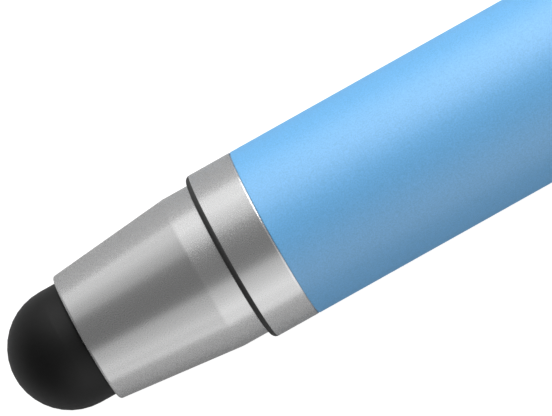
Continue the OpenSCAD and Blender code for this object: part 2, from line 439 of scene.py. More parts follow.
class Outline:
    """A closed outline of a turned piece, drawn from corner to corner."""

    # Largest turn between two points of a rounded corner
    ARC_STEP = math.radians(9)
    # How far beside a rounded corner a point keeps the flat surface flat
    HOLD = 0.03 * MM

    def __init__(self) -> None:
        """Starts an empty outline."""
        self.parts: list[Corner | list[Ring]] = []

    def to(self, x: float, r: float, edge: float = 0.0) -> "Outline":
        """Adds a corner.

        Args:
            x: station of the corner.
            r: radius of the corner.
            edge: radius of its rounding.

        Returns:
            The outline itself, so that calls can follow each other.
        """
        self.parts.append(Corner(x, r, edge))
        return self

    def arc(self, centre: Point, radius: float, start: float, end: float) -> "Outline":
        """Adds a stretch of a circle.

        Args:
            centre: station and radius of its middle.
            radius: its radius.
            start: angle at which it starts, from the direction of the end cap outwards.
            end: angle at which it ends.

        Returns:
            The outline itself.
        """
        steps = max(2, math.ceil(abs(end - start) / self.ARC_STEP))
        points = []
        for step in range(steps + 1):
            angle = start + (end - start) * step / steps
            points.append((centre[0] + radius * math.cos(angle), centre[1] + radius * math.sin(angle)))
        self.parts.append([lambda angle, p=p: p for p in points])
        return self

    def thread(self, thread: Thread, backward: bool = False) -> "Outline":
        """Adds a threaded stretch.

        Args:
            thread: the thread.
            backward: whether the outline runs from its end to its start.

        Returns:
            The outline itself.
        """
        rings = thread.rings()
        self.parts.append(rings[::-1] if backward else rings)
        return self

    def groove(self, start: float, end: float, surface: float, floor: float) -> "Outline":
        """Adds a square groove in the direction of drawing.

        Args:
            start: station of its first wall.
            end: station of its second wall.
            surface: radius of the surface that it is cut into.
            floor: radius of its floor.

        Returns:
            The outline itself.
        """
        return self.to(start, surface).to(start, floor).to(end, floor).to(end, surface)

    def rings(self) -> list[Ring]:
        """Rings of the whole outline.

        Returns:
            The rings in the order of drawing.
        """
        rings: list[Ring] = []
        for index, part in enumerate(self.parts):
            if isinstance(part, list):
                rings.extend(part)
                continue
            before = self.end_of(self.parts[index - 1], last=True)
            after = self.end_of(self.parts[(index + 1) % len(self.parts)], last=False)
            points = self.rounded(Vector(before), part, Vector(after))
            rings.extend(lambda angle, p=p: p for p in points)
        return rings

    @staticmethod
    def end_of(part: "Corner | list[Ring]", last: bool) -> Point:
        """Point at which a part of the outline meets its neighbour.

        Args:
            part: a corner or a threaded stretch.
            last: whether its last point is asked for, and not its first.

        Returns:
            The point.
        """
        if isinstance(part, Corner):
            return (part.x, part.r)
        return part[-1 if last else 0](0.0)

    def rounded(self, before: Vector, corner: Corner, after: Vector) -> list[Point]:
        """Points of one corner, with a ring on each side that keeps the flats flat.

        Args:
            before: the point ahead of the corner.
            corner: the corner.
            after: the point behind the corner.

        Returns:
            Its points in the order of drawing.
        """
        tip = Vector((corner.x, corner.r))
        if not corner.edge:
            return [tuple(tip)]
        back, ahead = before - tip, after - tip
        turn = back.angle(ahead)
        reach = corner.edge / math.tan(turn / 2)
        middle = (back.normalized() + ahead.normalized()).normalized()
        centre = tip + middle * (corner.edge / math.sin(turn / 2))
        first, last = tip + back.normalized() * reach, tip + ahead.normalized() * reach
        sweep = math.pi - turn
        steps = max(2, math.ceil(sweep / self.ARC_STEP))
        start, side = first - centre, last - centre
        points = []
        if back.length > reach + 2 * self.HOLD:
            points.append(first + back.normalized() * self.HOLD)
        for step in range(steps + 1):
            share = step / steps
            arm = (start * math.sin((1 - share) * sweep) + side * math.sin(share * sweep)) / math.sin(sweep)
            points.append(centre + arm)
        if ahead.length > reach + 2 * self.HOLD:
            points.append(last + ahead.normalized() * self.HOLD)
        return [tuple(point) for point in points]


@dataclass(frozen=True)
class Piece:
    """What a finished piece is called, moves with and stands for.

    Attributes:
        name: its name.
        body: the body that it rides on.
        slot: a material slot of the record; not used.
        nodes: the CAD nodes that it stands for.
    """

    name: str
    body: Body
    slot: Slot
    nodes: tuple[str, ...]

    def turn(self, outline: Outline, finish: MetalFinish | RubberFinish) -> bpy.types.Object:
        """Turns an outline round the pen's axis and fits the piece to its body.

        Args:
            outline: the closed outline.
            finish: the finish of the whole piece.

        Returns:
            The finished piece.
        """
        build = bmesh.new()
        loops = [self.loop(build, ring) for ring in outline.rings()]
        for near, far in zip(loops, loops[1:] + loops[:1]):
            self.bridge(build, near, far)
        piece = self.mesh_object(build, finish)
        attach(piece, self.body.value)
        return self.stand_in(piece)

    @staticmethod
    def loop(build: bmesh.types.BMesh, ring: Ring) -> list[bmesh.types.BMVert]:
        """Adds the points of one ring.

        Args:
            build: the mesh that is being built.
            ring: the ring.

        Returns:
            Its points, or one point where the ring lies on the axis.
        """
        if ring(0.0)[1] < ON_AXIS:
            return [build.verts.new((ring(0.0)[0], 0.0, 0.0))]
        points = []
        for index in range(SEGMENTS):
            angle = math.tau * index / SEGMENTS
            x, r = ring(angle)
            points.append(build.verts.new((x, r * math.cos(angle), r * math.sin(angle))))
        return points

    @staticmethod
    def bridge(
            build: bmesh.types.BMesh,
            near: list[bmesh.types.BMVert],
            far: list[bmesh.types.BMVert]) -> None:
        """Joins two rings by faces.

        Args:
            build: the mesh that is being built.
            near: points of the first ring.
            far: points of the second ring.
        """
        if len(near) == len(far) == 1:
            return
        for index in range(SEGMENTS):
            following = (index + 1) % SEGMENTS
            if len(near) == 1:
                build.faces.new((near[0], far[following], far[index]))
            elif len(far) == 1:
                build.faces.new((near[index], near[following], far[0]))
            else:
                build.faces.new((near[index], near[following], far[following], far[index]))

    def mesh_object(self, build: bmesh.types.BMesh, finish: MetalFinish | RubberFinish) -> bpy.types.Object:
        """Turns the built mesh into an object with its finish.

        Args:
            build: the mesh that was built, which is freed.
            finish: the finish of the whole piece.

        Returns:
            The object, linked to the scene.
        """
        bmesh.ops.recalc_face_normals(build, faces=build.faces)
        mesh = bpy.data.meshes.new(self.name)
        build.to_mesh(mesh)
        build.free()
        mesh.shade_smooth()
        mesh.set_sharp_from_angle(angle=SHARP_ANGLE)
        mesh.materials.append(Finishes.get(finish))
        piece = bpy.data.objects.new(self.name, mesh)
        bpy.context.scene.collection.objects.link(piece)
        return piece

    def stand_in(self, piece: bpy.types.Object) -> bpy.types.Object:
        """Hides the CAD nodes that the piece stands for, and logs the piece.

        Args:
            piece: the finished piece.

        Returns:
            The same piece.
        """
        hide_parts(*self.nodes)
        LOG.info("%s: %d faces on %s", self.name, len(piece.data.polygons), self.body.value)
        return piece


class Finishes:
    """The materials that have been made, one for each finish."""

    made: dict[str, bpy.types.Material] = {}

    @classmethod
    def get(cls, finish: MetalFinish | RubberFinish) -> bpy.types.Material:
        """Material of a finish, made the first time that it is asked for.

        Args:
            finish: the finish.

        Returns:
            Its material.
        """
        if finish.name not in cls.made:
            cls.made[finish.name] = finish.material()
        return cls.made[finish.name]


@dataclass
class PenFrame:
    """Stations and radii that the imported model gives.

    Attributes:
        nose_x: front edge of the nose.
        nose_end: rear face of the nose.
        nose_r: radius of the nose's rear band.
        core_x: front face of the core's body, behind the nib's flange.
        nib_r: radius of the nib.
        spigot_x: front face of the front collar's spigot.
        band_x: front face of the front collar's band.
        barrel_x: front end of the barrel.
        barrel_end: rear end of the barrel.
        barrel_r: radius of the barrel.
        front_plug_end: end of the front collar's plug.
        rear_plug_end: end of the rear collar's plug.
        ring_x: front face of the clip's ring.
        boss_end: end of the boss that the ring sits on.
        cap_seal_x: front face of the gasket under the cap.
        cap_seal_r: radius of that gasket.
        cap_x: front face of the end cap.
        stud_x: tip of the end cap's stud.
        end_x: rear face of the end cap.
        clip_side: direction from the pen's axis to the clip.
    """

    nose_x: float
    nose_end: float
    nose_r: float
    core_x: float
    nib_r: float
    spigot_x: float
    band_x: float
    barrel_x: float
    barrel_end: float
    barrel_r: float
    front_plug_end: float
    rear_plug_end: float
    ring_x: float
    boss_end: float
    cap_seal_x: float
    cap_seal_r: float
    cap_x: float
    stud_x: float
    end_x: float
    clip_side: Vector

    @classmethod
    def read(cls, joints: list[dict]) -> "PenFrame":
        """Reads the sizes from the boxes of the CAD nodes.

        Args:
            joints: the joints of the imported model.

        Returns:
            The stations and radii.
        """
        nib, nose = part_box("rubber_nib"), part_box("nose_cone")
        seal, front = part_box("nose_gasket"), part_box("front_collar")
        barrel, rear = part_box("barrel"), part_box("rear_collar")
        ring, cap_seal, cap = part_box("clip_ring"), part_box("cap_gasket"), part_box("end_cap")
        flex = next(joint for joint in joints if joint["name"] == "clip_flex")
        return cls(
            nose_x=nose[0].x, nose_end=nose[1].x, nose_r=nose[1].z,
            core_x=nib[1].x, nib_r=nib[1].z,
            spigot_x=front[0].x, band_x=seal[1].x,
            barrel_x=barrel[0].x, barrel_end=barrel[1].x, barrel_r=barrel[1].z,
            front_plug_end=front[1].x, rear_plug_end=rear[0].x,
            ring_x=ring[1].x - Clip.thickness, boss_end=rear[1].x,
            cap_seal_x=cap_seal[0].x, cap_seal_r=cap_seal[1].z,
            cap_x=cap_seal[1].x, stud_x=cap[0].x, end_x=cap[1].x,
            clip_side=Vector((0.0, *flex["pos_m"][1:])).normalized())


@dataclass
class NoseAssembly:
    """Hollow rubber nib in its screw-off metal nose, with the brass core behind it.

    Attributes:
        frame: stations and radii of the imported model.
        nib_wall: wall of the hollow rubber.
        nib_sink: depth to which the full nib sinks into the nose.
        lip: thickness of the nose's inner lip.
        groove: depth of the nib's groove round that lip.
        flange_step: how far the nib's flange stops short of the nib's radius.
        rim: width of the nose's front rim.
        front_edge: radius of that rim's rounding.
        band: length of the cylindrical band behind the taper.
        taper_edge: radius of the soft edge between taper and band.
        rear_edge: radius of the nose's rear edge.
        play: gap between the nib and the nose.
        thread_wall: wall of the band outside the thread.
        nib_edge: radius of the nib's moulded corners.
        mouth_edge: radius of the inner edge of the nose's mouth.
        countersink: depth and width of the countersink ahead of the thread.
    """

    frame: PenFrame
    nib_wall: float = 0.7 * MM
    nib_sink: float = 0.6 * MM
    lip: float = 1.2 * MM
    groove: float = 0.5 * MM
    flange_step: float = 0.05 * MM
    rim: float = 0.32 * MM
    front_edge: float = 0.14 * MM
    band: float = 1.45 * MM
    taper_edge: float = 1.2 * MM
    rear_edge: float = 0.03 * MM
    play: float = 0.05 * MM
    thread_wall: float = 0.85 * MM
    nib_edge: float = 0.08 * MM
    mouth_edge: float = 0.04 * MM
    countersink: float = 0.15 * MM

    def build(self) -> None:
        """Builds the nib and the nose, and finishes the core that they hold."""
        self.nib()
        self.nose()
        core = bpy.data.objects["nib_core"]
        core.data.materials.clear()
        core.data.materials.append(Finishes.get(TURNED_BRASS))
        LOG.info("nib_core: finished in brass")

    def nib(self) -> bpy.types.Object:
        """Builds the rubber dome with its groove, flange and hollow.

        Returns:
            The nib.
        """
        frame = self.frame
        lip_x = frame.nose_x + self.nib_sink
        flange_x = lip_x + self.lip
        neck_r = frame.nib_r - self.groove
        throat_r = neck_r - self.nib_wall
        inner_r = frame.nib_r - self.nib_wall
        soft = self.nib_edge
        outline = (
            Outline()
            .to(0.0, 0.0)
            .to(0.0, frame.nib_r, frame.nib_r)
            .to(lip_x, frame.nib_r, soft)
            .to(lip_x, neck_r, soft)
            .to(flange_x, neck_r, soft)
            .to(flange_x, frame.nib_r - self.flange_step, soft)
            .to(frame.core_x, frame.nib_r - self.flange_step, soft)
            .to(frame.core_x, throat_r, soft)
            .to(lip_x, throat_r, soft)
            .to(lip_x, inner_r, soft)
            .to(self.nib_wall, inner_r, inner_r)
            .to(self.nib_wall, 0.0))
        return Piece("nib", Body.NOSE, Slot.NIB_RUBBER, ("rubber_nib",)).turn(outline, NIB_RUBBER)

    def nose(self) -> bpy.types.Object:
        """Builds the tapered nose with its seat for the nib and its inner thread.

        Returns:
            The nose.
        """
        frame = self.frame
        taper_end = frame.nose_end - self.band
        front_r = frame.nib_r + self.rim
        mouth_r = frame.nib_r + self.play
        lip_x = frame.nose_x + self.nib_sink
        lip_r = frame.nib_r - self.groove + self.play
        seat_r = frame.nib_r - self.flange_step + self.play
        bore_r = frame.nose_r - self.thread_wall + self.play
        thread = Thread(
            Side.INSIDE, frame.spigot_x, frame.nose_end - self.countersink,
            FrontCollar.pitch, frame.nose_r - self.thread_wall, FrontCollar.thread_depth)
        outline = (
            Outline()
            .to(frame.nose_x, mouth_r, self.mouth_edge)
            .to(frame.nose_x, front_r, self.front_edge)
            .to(taper_end, frame.nose_r, self.taper_edge)
            .to(frame.nose_end, frame.nose_r, self.rear_edge)
            .to(frame.nose_end, bore_r + self.countersink)
            .thread(thread, backward=True)
            .to(frame.spigot_x, seat_r)
            .to(lip_x + self.lip, seat_r)
            .to(lip_x + self.lip, lip_r)
            .to(lip_x, lip_r)
            .to(lip_x, mouth_r))
        return Piece("nose", Body.NOSE, Slot.SILVER, ("nose_cone",)).turn(outline, SATIN_SILVER)


@dataclass(frozen=True)
class Seam:
    """Faint bevel and fine groove where a collar's band meets the barrel.

    Attributes:
        edge: width of the bevel.
        drop: how far the bevel falls.
        blend: radius that blends it into the band.
        gap: width of the groove between the bevel and the barrel.
        depth: depth of that groove.
    """

    edge: float = 0.045 * MM
    drop: float = 0.007 * MM
    blend: float = 0.25 * MM
    gap: float = 0.042 * MM
    depth: float = 0.1 * MM

    def draw(self, outline: Outline, face: float, band_r: float, away: int) -> Outline:
        """Draws the seam, from the band's surface to the barrel's end.

        Args:
            outline: the outline that it is added to.
            face: station of the barrel's end.
            band_r: radius of the band.
            away: 1 where the band lies towards the end cap, and -1 where it lies towards the nib.

        Returns:
            The same outline.
        """
        bevel_x = face + away * self.gap
        return (
            outline
            .to(bevel_x + away * self.edge, band_r, self.blend)
            .to(bevel_x, band_r - self.drop)
            .to(bevel_x, band_r - self.depth)
            .to(face, band_r - self.depth))


@dataclass(frozen=True)
class Plug:
    """Plug with grooves for glue, which holds a collar in an end of the barrel.

    Attributes:
        glue_gap: gap round the plug inside the barrel.
        wall: wall of a hollow plug.
        groove_width: width of a glue groove.
        groove_depth: depth of a glue groove.
        grooves: number of glue grooves.
        chamfer: chamfer round the plug's end.
    """

    glue_gap: float = 0.03 * MM
    wall: float = 1.3 * MM
    groove_width: float = 0.8 * MM
    groove_depth: float = 0.25 * MM
    grooves: int = 3
    chamfer: float = 0.3 * MM

    def radius(self, barrel_r: float) -> float:
        """Radius of the plug in a barrel of some radius."""
        return barrel_r - Barrel.wall - self.glue_gap

    def draw(self, outline: Outline, start: float, end: float, radius: float) -> Outline:
        """Draws the plug, from the barrel's end to the plug's own end.

        Args:
            outline: the outline that it is added to.
            start: station of the barrel's end.
            end: station of the plug's end.
            radius: radius of the plug.

        Returns:
            The same outline.
        """
        inward = math.copysign(1.0, end - start)
        half = inward * self.groove_width / 2
        outline.to(start, radius)
        for index in range(1, self.grooves + 1):
            middle = start + (end - start) * index / (self.grooves + 1)
            outline.groove(middle - half, middle + half, radius, radius - self.groove_depth)
        return outline.to(end - inward * self.chamfer, radius).to(end, radius - self.chamfer)


@dataclass
class FrontCollar:
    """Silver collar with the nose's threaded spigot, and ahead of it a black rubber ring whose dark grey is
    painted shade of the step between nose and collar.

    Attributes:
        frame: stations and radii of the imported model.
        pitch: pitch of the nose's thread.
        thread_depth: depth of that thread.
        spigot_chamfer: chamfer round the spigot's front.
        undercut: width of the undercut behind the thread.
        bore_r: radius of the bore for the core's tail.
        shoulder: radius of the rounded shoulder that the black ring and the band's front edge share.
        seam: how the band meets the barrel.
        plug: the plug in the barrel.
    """

    frame: PenFrame
    pitch: float = 0.5 * MM
    thread_depth: float = 0.25 * MM
    spigot_chamfer: float = 0.25 * MM
    undercut: float = 0.5 * MM
    bore_r: float = 1.55 * MM
    shoulder: float = 0.3 * MM
    seam: Seam = Seam()
    plug: Plug = Plug()

    def build(self) -> None:
        """Builds the black ring of painted shade and the collar."""
        self.gasket()
        self.collar()

    def shoulder_centre(self) -> Point:
        """Middle of the rounded shoulder's arc."""
        return (self.frame.nose_end + self.shoulder, self.frame.barrel_r - self.shoulder)

    def shoulder_split(self) -> float:
        """Angle on that arc at which the black ring ends and the band starts."""
        return math.acos((self.frame.band_x - self.shoulder_centre()[0]) / self.shoulder)

    def gasket(self) -> bpy.types.Object:
        """Builds the black ring, which starts the rounded shoulder; its dark grey is painted shade of the
        step between nose and collar.

        Returns:
            The gasket.
        """
        frame = self.frame
        inner_r = frame.nose_r - NoseAssembly.thread_wall + NoseAssembly.play
        outline = (
            Outline()
            .to(frame.nose_end, inner_r)
            .arc(self.shoulder_centre(), self.shoulder, math.pi, self.shoulder_split())
            .to(frame.band_x, inner_r))
        # The ring's dark rubber is painted shade of the step between nose and collar
        return Piece("nose_seal_painted_shade", Body.PEN, Slot.GASKET, ("nose_gasket",)).turn(outline, GASKET_RUBBER_AND_PAINTED_SHADE)

    def collar(self) -> bpy.types.Object:
        """Builds the spigot, band and plug as one turned piece.

        Returns:
            The collar.
        """
        frame = self.frame
        screw_r = frame.nose_r - NoseAssembly.thread_wall
        root_r = screw_r - self.thread_depth
        plug_r = self.plug.radius(frame.barrel_r)
        hollow_r = plug_r - self.plug.wall
        thread = Thread(
            Side.OUTSIDE, frame.spigot_x + self.spigot_chamfer, frame.band_x - self.undercut,
            self.pitch, screw_r, self.thread_depth)
        outline = (
            Outline()
            .to(frame.spigot_x, self.bore_r)
            .to(frame.spigot_x, screw_r - self.spigot_chamfer)
            .thread(thread)
            .to(frame.band_x - self.undercut, root_r)
            .to(frame.band_x, root_r)
            .arc(self.shoulder_centre(), self.shoulder, self.shoulder_split(), math.pi / 2)
            .to(self.shoulder_centre()[0] + Outline.HOLD, frame.barrel_r))
        self.seam.draw(outline, frame.barrel_x, frame.barrel_r, away=-1)
        self.plug.draw(outline, frame.barrel_x, frame.front_plug_end, plug_r)
        outline.to(frame.front_plug_end, hollow_r)
        outline.to(frame.barrel_x, hollow_r)
        outline.to(frame.barrel_x, self.bore_r)
        return Piece("front_band", Body.PEN, Slot.SILVER, ("front_collar",)).turn(outline, SATIN_SILVER)


@dataclass
class Barrel:
    """Blue anodised tube between the collars.

    Attributes:
        frame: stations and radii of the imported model.
        wall: wall of the tube.
        edge: radius of the edges at its ends.
    """

    frame: PenFrame
    wall: float = 0.7 * MM
    edge: float = 0.05 * MM

    def build(self) -> bpy.types.Object:
        """Builds the tube.

        Returns:
            The tube.
        """
        frame = self.frame
        bore_r = frame.barrel_r - self.wall
        outline = (
            Outline()
            .to(frame.barrel_x, bore_r)
            .to(frame.barrel_x, frame.barrel_r, self.edge)
            .to(frame.barrel_end, frame.barrel_r, self.edge)
            .to(frame.barrel_end, bore_r))
        return Piece("tube", Body.PEN, Slot.BLUE, ("barrel",)).turn(outline, ANODISED_BLUE)


@dataclass
class RearAssembly:
    """Rear collar, the gasket under the end cap and the screwed end cap.

    Attributes:
        frame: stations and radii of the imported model.
        boss_r: radius of the boss that centres the clip's ring.
        boss_edge: radius of the boss's edge.
        stud_r: major radius of the cap's stud.
        pitch: pitch of the stud's thread.
        thread_depth: depth of that thread.
        hole_spare: free depth below the stud.
        drill_share: depth of the hole's drilled cone, as a share of the stud's radius.
        countersink: depth and width of the countersink ahead of the hole's thread.
        stud_chamfer: chamfer at the stud's tip.
        stud_step: how far the stud's tip stays inside that chamfer.
        neck: length of the plain neck between the stud's thread and the cap.
        play: radial play of the stud.
        rear_edge: radius of the band's rear edge.
        cap_edge: radius of the cap's rounded end.
        cap_chamfer: chamfer on the cap's front edge.
        cap_front_edge: radius that softens that chamfer.
        gasket_edge: radius of the gasket's edges.
        seam: how the band meets the barrel.
        plug: the plug in the barrel.
    """

    frame: PenFrame
    boss_r: float = 3.0 * MM
    boss_edge: float = 0.08 * MM
    stud_r: float = 2.0 * MM
    pitch: float = 0.7 * MM
    thread_depth: float = 0.38 * MM
    hole_spare: float = 0.8 * MM
    drill_share: float = 0.5
    countersink: float = 0.25 * MM
    stud_chamfer: float = 0.4 * MM
    stud_step: float = 0.1 * MM
    neck: float = 0.5 * MM
    play: float = 0.05 * MM
    rear_edge: float = 0.05 * MM
    cap_edge: float = 0.7 * MM
    cap_chamfer: float = 0.12 * MM
    cap_front_edge: float = 0.04 * MM
    gasket_edge: float = 0.08 * MM
    seam: Seam = Seam()
    plug: Plug = Plug()

    def build(self) -> None:
        """Builds the collar, the gasket and the cap."""
        self.collar()
        self.gasket()
        self.cap()

    def collar(self) -> bpy.types.Object:
        """Builds the plug, band and boss round the tapped hole.

        Returns:
            The collar.
        """
        frame = self.frame
        plug_r = self.plug.radius(frame.barrel_r)
        hole_x = frame.stud_x - self.hole_spare
        thread = Thread(
            Side.INSIDE, hole_x + self.pitch / 2, frame.boss_end - self.countersink,
            self.pitch, self.stud_r, self.thread_depth)
        outline = (
            Outline()
            .to(hole_x - self.stud_r * self.drill_share, 0.0)
            .to(hole_x, self.stud_r - self.thread_depth)
            .thread(thread)
            .to(frame.boss_end, self.stud_r + self.play + self.countersink)
            .to(frame.boss_end, self.boss_r, self.boss_edge)
            .to(frame.ring_x, self.boss_r)
            .to(frame.ring_x, frame.barrel_r, self.rear_edge))
        self.seam.draw(outline, frame.barrel_end, frame.barrel_r, away=1)
        self.plug.draw(outline, frame.barrel_end, frame.rear_plug_end, plug_r)
        outline.to(frame.rear_plug_end, 0.0)
        return Piece("rear_band", Body.PEN, Slot.SILVER, ("rear_collar",)).turn(outline, SATIN_SILVER)

    def gasket(self) -> bpy.types.Object:
        """Builds the gasket that rises with the cap.

        Returns:
            The gasket.
        """
        frame = self.frame
        inner_r = self.stud_r + self.play
        outline = (
            Outline()
            .to(frame.cap_seal_x, inner_r)
            .to(frame.cap_seal_x, frame.cap_seal_r, self.gasket_edge)
            .to(frame.cap_x, frame.cap_seal_r, self.gasket_edge)
            .to(frame.cap_x, inner_r))
        return Piece("cap_seal", Body.CAP_SEAL, Slot.GASKET, ("cap_gasket",)).turn(outline, GASKET_RUBBER_AND_PAINTED_SHADE)

    def cap(self) -> bpy.types.Object:
        """Builds the cap and its threaded stud.

        Returns:
            The cap.
        """
        frame = self.frame
        neck_x = frame.cap_x - self.neck
        root_r = self.stud_r - self.thread_depth
        thread = Thread(
            Side.OUTSIDE, frame.stud_x + self.stud_chamfer, neck_x,
            self.pitch, self.stud_r, self.thread_depth, run_out=self.stud_chamfer)
        outline = (
            Outline()
            .to(frame.stud_x, 0.0)
            .to(frame.stud_x, self.stud_r - self.stud_chamfer - self.stud_step)
            .thread(thread)
            .to(neck_x, root_r)
            .to(frame.cap_x, root_r)
            .to(frame.cap_x, frame.barrel_r - self.cap_chamfer)
            .to(frame.cap_x + self.cap_chamfer, frame.barrel_r, self.cap_front_edge)
            .to(frame.end_x, frame.barrel_r, self.cap_edge)
            .to(frame.end_x, 0.0))
        return Piece("cap", Body.CAP, Slot.SILVER, ("end_cap",)).turn(outline, SATIN_SILVER)


@dataclass
class Clip:
    """Spring clip cut from flat strip, bent over and pressed, with a ring that the cap clamps.

    The flat blank lies in u, away from the pen's axis, and v, across the strip. It is bent afterwards.

    Attributes:
        frame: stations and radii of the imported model.
        thickness: thickness of the strip.
        ring_bore: radius of the ring's bore.
        ring_r: radius of the ring.
        half_width: half of the strip's width at its bend.
        end_half_width: half of its width at the free end.
        bend_r: inner radius of the bend.
        stand: free height under the arm at the bend.
        arm_length: length of the arm ahead of the bend.
        dimple_setback: distance of the dimple from the free end.
        dimple_height: free height under the arm at the dimple.
        dimple_depth: how far the dimple stands out below.
        dimple_r: radius of the dimple's foot.
        dent_depth: depth of the dent above the dimple.
        dent_r: radius of that dent.
        flare_r: radius of the upturned end.
        flare_lead: distance from the dimple to the start of the flare.
        edge: radius of the strip's edges.
        root: length over which the arm flexes.
        press_power: how steeply the dimple and the dent rise from their feet.
        edge_steps: steps round an edge of the strip.
        ring_steps: steps round the ring.
        columns: columns of faces on each side of the strip's middle.
        row_steps: rows of faces in each stretch of the blank.
        end_steps: steps round the strip's round end.
    """

    frame: PenFrame
    thickness: float = 0.8 * MM
    ring_bore: float = 3.05 * MM
    ring_r: float = 4.35 * MM
    half_width: float = 2.0 * MM
    end_half_width: float = 1.6 * MM
    bend_r: float = 0.7 * MM
    stand: float = 1.6 * MM
    arm_length: float = 34 * MM
    dimple_setback: float = 3.6 * MM
    dimple_height: float = 0.85 * MM
    dimple_depth: float = 0.75 * MM
    dimple_r: float = 1.35 * MM
    dent_depth: float = 0.6 * MM
    dent_r: float = 0.8 * MM
    flare_r: float = 7.4 * MM
    flare_lead: float = 1.2 * MM
    edge: float = 0.1 * MM
    root: float = 8 * MM
    press_power: float = 1.2
    edge_steps: int = 4
    ring_steps: int = 96
    columns: int = 12
    row_steps: tuple[int, ...] = (3, 16, 16, 18, 26, 6)
    end_steps: int = 24

    def build(self) -> bpy.types.Object:
        """Builds the clip from its bent blank.

        Returns:
            The clip.
        """
        piece = Piece("clip", Body.CLIP, Slot.CLIP, ("clip_ring", "clip_arm"))
        clip = piece.mesh_object(self.blank().solid(self.place), CLIP_STEEL)
        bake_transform(clip)
        return piece.stand_in(clip)

    def top(self) -> float:
        """Height of the arm's upper face at the bend, from the pen's axis."""
        return self.frame.barrel_r + self.stand + self.thickness

    def fall(self) -> float:
        """Angle at which the arm falls towards the dimple."""
        return math.atan((self.stand - self.dimple_height) / (self.arm_length - self.dimple_setback))

    def bend_u(self) -> float:
        """Distance from the pen's axis at which the blank starts to bend."""
        return self.top() - self.thickness - self.bend_r

    def bend_length(self) -> float:
        """Length of the blank's middle layer that the bend takes."""
        return (self.bend_r + self.thickness / 2) * (math.pi / 2 + self.fall())

    def arm_u(self) -> float:
        """Place on the blank at which the arm's straight stretch starts."""
        return self.bend_u() + self.bend_length()

    def dimple_u(self) -> float:
        """Place of the dimple's middle on the blank."""
        return self.arm_u() + (self.arm_length - self.dimple_setback) / math.cos(self.fall())

    def flare_u(self) -> float:
        """Place on the blank at which the free end starts to turn up."""
        return self.dimple_u() + self.flare_lead

    def end_u(self) -> float:
        """Place on the blank of the middle of its round end."""
        reach = self.dimple_setback - self.flare_lead
        return self.flare_u() + self.flare_r * math.asin(reach / self.flare_r) - self.end_half_width

    def edge_lines(self) -> list[tuple[float, float]]:
        """Lines that round an edge of the strip.

        Returns:
            For each line its distance from the edge and how far it drops below the flat face. The
            last line keeps the flat face flat.
        """
        lines = []
        for step in range(self.edge_steps + 1):
            turn = math.pi / 2 * step / self.edge_steps
            lines.append((self.edge * (1 - math.cos(turn)), self.edge * (1 - math.sin(turn))))
        return lines + [(self.edge + Outline.HOLD, 0.0)]

    def half_width_at(self, u: float) -> float:
        """Half of the strip's width at a place on the blank.

        Args:
            u: the place.

        Returns:
            The half width.
        """
        share = (u - self.arm_u()) / (self.end_u() - self.arm_u())
        share = min(1.0, max(0.0, share))
        return self.half_width + (self.end_half_width - self.half_width) * share

    def row_places(self) -> list[float]:
        """Places of the rows of points along the blank, from the ring to the round end.

        Returns:
            The places.
        """
        marks = (
            self.ring_r + self.edge,
            self.bend_u(),
            self.arm_u(),
            self.arm_u() + self.root,
            self.dimple_u() - self.dimple_r,
            self.flare_u(),
            self.end_u())
        places = [marks[0]]
        for start, end, steps in zip(marks, marks[1:], self.row_steps):
            places.extend(start + (end - start) * step / steps for step in range(1, steps + 1))
        return places

    def blank(self) -> "Blank":
        """Lays out the flat blank: ring, tab, tapered arm and round end.

        Returns:
            The blank.
        """
        blank = Blank()
        lines = self.edge_lines()
        inset = lines[-1][0]
        inner = [(self.ring_bore + away, drop) for away, drop in lines]
        outer = [(self.ring_r - away, drop) for away, drop in reversed(lines)]
        middle_r = (self.ring_bore + self.ring_r) / 2
        seat_r, seat_v = self.ring_r - inset, self.half_width - inset
        corner = math.asin(seat_v / seat_r)

        def spoke(angle: float, mitred: bool) -> list[int]:
            """Adds points across the ring.

            Args:
                angle: angle at which they lie.
                mitred: whether their outer points follow the tab's edges.

            Returns:
                The points' numbers, from the bore outwards.
            """
            row = [blank.polar(r, angle, drop) for r, drop in inner + [(middle_r, 0.0)]]
            for r, drop in outer:
                away = self.ring_r - r
                turn = math.copysign(math.asin((self.half_width - away) / r), math.sin(angle))
                row.append(blank.polar(r, turn if mitred else angle, drop))
            return row

        right, left = spoke(corner, True), spoke(-corner, True)
        ring = [right]
        for step in range(1, self.ring_steps):
            angle = corner + (math.tau - 2 * corner) * step / self.ring_steps
            ring.append(spoke(angle, False))
        blank.skin(ring + [left])

        shares = [step / self.columns for step in range(1 - self.columns, self.columns)]
        under = len(inner) + 2
        rows = [left[:under]]
        for share in shares:
            angle = math.asin(share * seat_v / seat_r)
            radii = inner + [(middle_r, 0.0), (seat_r, 0.0)]
            rows.append([blank.polar(r, angle, drop) for r, drop in radii])
        rows.append(right[:under])
        blank.skin(rows)

        seat = [row[-1] for row in rows]
        tab = [left[:under - 1:-1] + seat + right[under:]]
        for u in self.row_places():
            half = self.half_width_at(u)
            near = [blank.flat(u, away - half, drop) for away, drop in lines]
            far = [blank.flat(u, half - away, drop) for away, drop in reversed(lines)]
            between = [blank.flat(u, share * (half - inset), 0.0) for share in shares]
            tab.append(near + between + far)
        blank.skin(tab)

        last, half = tab[-1], len(tab[-1]) // 2
        fan = [last[half:]]
        for step in range(1, self.end_steps):
            turn = math.pi * step / self.end_steps
            fan.append([last[half]] + [blank.turned(index, last[half], turn) for index in last[half + 1:]])
        fan.append(last[half::-1])
        blank.skin(fan)
        return blank

    def pressed(self, u: float, v: float, upper: bool) -> float:
        """How far the press pushes a face down at a place on the blank.

        Args:
            u: place along the blank.
            v: place across the blank.
            upper: whether it is the upper face, which gets the dent.

        Returns:
            The distance.
        """
        depth, foot = (self.dent_depth, self.dent_r) if upper else (self.dimple_depth, self.dimple_r)
        away = math.hypot(u - self.dimple_u(), v) / foot
        return depth * (1 - away * away) ** self.press_power if away < 1 else 0.0

